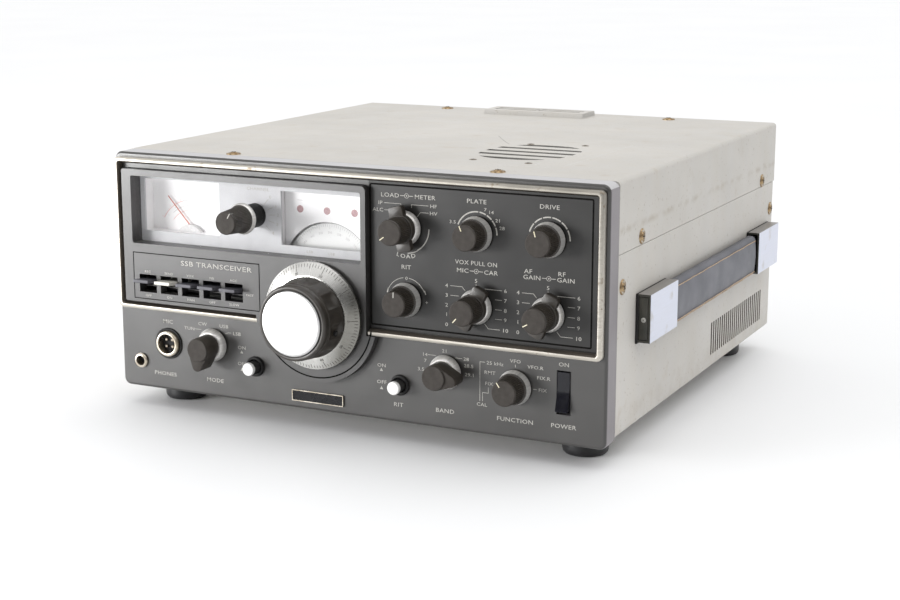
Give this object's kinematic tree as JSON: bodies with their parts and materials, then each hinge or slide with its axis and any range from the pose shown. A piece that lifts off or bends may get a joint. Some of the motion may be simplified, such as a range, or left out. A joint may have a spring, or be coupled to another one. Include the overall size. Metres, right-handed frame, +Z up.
{
  "type": "ham radio transmitter",
  "caption": "Table-top ham radio set with a main tuning dial, windowed meter and scale, turning knobs, lever switches, vented metal case and side carrying handle.",
  "frame": {"origin": "middle of the bounding box's footprint, on the plane that the feet stand on", "axes": "+X to the operator's right, +Y from the front panel to the back, +Z up"},
  "size_m": [0.342, 0.3804, 0.1685],
  "materials": {
    "cream_enamel": "semi-gloss, aged",
    "front_paint": "semi-gloss",
    "satin_aluminium": "satin",
    "knob_black": "satin",
    "white_plastic": "gloss",
    "lever_plastic": "gloss",
    "black_plastic": "gloss",
    "clear_pane": "clear",
    "grey_mask": "matt",
    "dial_white": "matt",
    "needle_paint": "matt",
    "nickel": "satin",
    "strap_leather": "satin, stitched",
    "foot_rubber": "matt",
    "plated_steel": "satin",
    "circuit_board": "satin",
    "iron": "painted"
  },
  "bodies": {
    "cabinet": {"front_bezel": "front_paint", "dial_escutcheon": "front_paint", "trim_moulding": "satin_aluminium", "control_panel": "front_paint", "window_pane": "clear_pane", "window_mask": "grey_mask", "signal_meter": "dial_white", "scale_housing": "grey_mask", "badge_plate": "black_plastic", "mic_socket": "nickel", "phones_jack": "nickel", "top_cover": "cream_enamel", "bottom_cover": "cream_enamel", "rear_panel": "plated_steel", "antenna_socket": "nickel", "ground_post": "nickel", "fuse_holder": "black_plastic", "power_inlet": "black_plastic", "handle_cap_front": "satin_aluminium", "handle_cap_rear": "satin_aluminium", "handle_strap": "strap_leather", "foot_front_left": "foot_rubber", "foot_front_right": "foot_rubber", "foot_rear_left": "foot_rubber", "foot_rear_right": "foot_rubber", "chassis": "plated_steel", "speaker": "iron", "power_transformer": "iron", "vfo_unit": "plated_steel", "signal_board": "circuit_board", "output_stage_cage": "plated_steel", "fan_motor": "plated_steel"},
    "tuning_dial": {"tuning_skirt": "satin_aluminium", "tuning_knob": "knob_black", "tuning_cap": "satin_aluminium"},
    "scale_disc": {"vfo_scale_disc": "dial_white"},
    "needle": {"meter_needle": "needle_paint"},
    "channel_select": {"channel_knob": "knob_black"},
    "load_control": {"load_knob": "knob_black"},
    "meter_select": {"meter_lever": "knob_black"},
    "plate_control": {"plate_knob": "knob_black"},
    "drive_control": {"drive_knob": "knob_black"},
    "rit_control": {"rit_knob": "knob_black"},
    "mic_pull_shaft": {"mic_shaft": "plated_steel"},
    "mic_gain": {"mic_knob": "knob_black"},
    "carrier_control": {"carrier_lever": "knob_black"},
    "audio_gain": {"audio_gain_knob": "knob_black"},
    "rf_gain": {"rf_gain_lever": "knob_black"},
    "mode_select": {"mode_knob": "knob_black"},
    "band_select": {"band_knob": "knob_black"},
    "function_select": {"function_knob": "knob_black"},
    "calibrator_switch": {"calibrator_button": "white_plastic"},
    "rit_switch": {"rit_button": "white_plastic"},
    "lever_1": {"lever_switch_1": "lever_plastic"},
    "lever_2": {"lever_switch_2": "lever_plastic"},
    "lever_3": {"lever_switch_3": "lever_plastic"},
    "lever_4": {"lever_switch_4": "lever_plastic"},
    "lever_5": {"lever_switch_5": "lever_plastic"},
    "power_switch": {"power_rocker": "black_plastic"},
    "fan": {"fan_rotor": "black_plastic"}
  },
  "joints": [
    {"name": "tuning_turn", "type": "hinge", "parent": "cabinet", "child": "tuning_dial", "pos_m": [-0.024, -0.15675, 0.0746], "axis": [0, 1, 0], "continuous": true},
    {"name": "scale_turn", "type": "hinge", "parent": "cabinet", "child": "scale_disc", "pos_m": [-0.024, -0.15675, 0.097], "axis": [0, 1, 0], "continuous": true},
    {"name": "needle_swing", "type": "hinge", "parent": "cabinet", "child": "needle", "pos_m": [-0.1235, -0.14335, 0.1172], "axis": [0, 1, 0], "range_deg": [0, 84], "stiffness_Nm_per_rad": 0.00002, "springref_deg": -17.19},
    {"name": "channel_turn", "type": "hinge", "parent": "cabinet", "child": "channel_select", "pos_m": [-0.071, -0.15675, 0.1304], "axis": [0, 1, 0], "range_deg": [0, 90]},
    {"name": "load_turn", "type": "hinge", "parent": "cabinet", "child": "load_control", "pos_m": [0.0355, -0.15675, 0.1317], "axis": [0, 1, 0], "range_deg": [-150, 10]},
    {"name": "meter_turn", "type": "hinge", "parent": "cabinet", "child": "meter_select", "pos_m": [0.0355, -0.15675, 0.1317], "axis": [0, 1, 0], "range_deg": [-30, 60]},
    {"name": "plate_turn", "type": "hinge", "parent": "cabinet", "child": "plate_control", "pos_m": [0.081, -0.15675, 0.1316], "axis": [0, 1, 0], "range_deg": [-46, 115]},
    {"name": "drive_turn", "type": "hinge", "parent": "cabinet", "child": "drive_control", "pos_m": [0.1258, -0.15675, 0.1318], "axis": [0, 1, 0], "range_deg": [-54, 108]},
    {"name": "rit_turn", "type": "hinge", "parent": "cabinet", "child": "rit_control", "pos_m": [0.0355, -0.15675, 0.0888], "axis": [0, 1, 0], "range_deg": [-140, 140]},
    {"name": "mic_pull", "type": "slide", "parent": "cabinet", "child": "mic_pull_shaft", "axis": [0, -1, 0], "range_m": [0, 0.003]},
    {"name": "mic_turn", "type": "hinge", "parent": "mic_pull_shaft", "child": "mic_gain", "pos_m": [0.081, -0.15675, 0.0889], "axis": [0, 1, 0], "range_deg": [0, 270]},
    {"name": "carrier_turn", "type": "hinge", "parent": "cabinet", "child": "carrier_control", "pos_m": [0.081, -0.15675, 0.0889], "axis": [0, 1, 0], "range_deg": [0, 265]},
    {"name": "audio_turn", "type": "hinge", "parent": "cabinet", "child": "audio_gain", "pos_m": [0.1258, -0.15675, 0.0889], "axis": [0, 1, 0], "range_deg": [-25, 245]},
    {"name": "rf_turn", "type": "hinge", "parent": "cabinet", "child": "rf_gain", "pos_m": [0.1258, -0.15675, 0.0889], "axis": [0, 1, 0], "range_deg": [0, 265]},
    {"name": "mode_turn", "type": "hinge", "parent": "cabinet", "child": "mode_select", "pos_m": [-0.1007, -0.15675, 0.0469], "axis": [0, 1, 0], "range_deg": [0, 90]},
    {"name": "band_turn", "type": "hinge", "parent": "cabinet", "child": "band_select", "pos_m": [0.0615, -0.15675, 0.0479], "axis": [0, 1, 0], "range_deg": [-180, 0]},
    {"name": "function_turn", "type": "hinge", "parent": "cabinet", "child": "function_select", "pos_m": [0.106, -0.15675, 0.044], "axis": [0, 1, 0], "range_deg": [-60, 120]},
    {"name": "calibrator_press", "type": "slide", "parent": "cabinet", "child": "calibrator_switch", "axis": [0, 1, 0], "range_m": [0, 0.003], "stiffness_N_per_m": 300},
    {"name": "rit_press", "type": "slide", "parent": "cabinet", "child": "rit_switch", "axis": [0, 1, 0], "range_m": [0, 0.003], "stiffness_N_per_m": 300},
    {"name": "lever_1_flip", "type": "hinge", "parent": "cabinet", "child": "lever_1", "pos_m": [-0.1454, -0.14775, 0.0828], "axis": [1, 0, 0], "range_deg": [0, 14]},
    {"name": "lever_2_flip", "type": "hinge", "parent": "cabinet", "child": "lever_2", "pos_m": [-0.1294, -0.14775, 0.0828], "axis": [1, 0, 0], "range_deg": [0, 14]},
    {"name": "lever_3_flip", "type": "hinge", "parent": "cabinet", "child": "lever_3", "pos_m": [-0.1134, -0.14775, 0.0828], "axis": [1, 0, 0], "range_deg": [0, 14]},
    {"name": "lever_4_flip", "type": "hinge", "parent": "cabinet", "child": "lever_4", "pos_m": [-0.0974, -0.14775, 0.0828], "axis": [1, 0, 0], "range_deg": [0, 14]},
    {"name": "lever_5_flip", "type": "hinge", "parent": "cabinet", "child": "lever_5", "pos_m": [-0.0814, -0.14775, 0.0828], "axis": [1, 0, 0], "range_deg": [0, 14]},
    {"name": "power_rock", "type": "hinge", "parent": "cabinet", "child": "power_switch", "pos_m": [0.1358, -0.15275, 0.044], "axis": [1, 0, 0], "range_deg": [0, 16]},
    {"name": "fan_spin", "type": "hinge", "parent": "cabinet", "child": "fan", "pos_m": [-0.0005, 0.16325, 0.105], "axis": [0, 1, 0], "continuous": true}
  ],
  "couplings": [
    {"joint": "scale_turn", "follows": "tuning_turn", "ratio": -0.04}
  ]
}
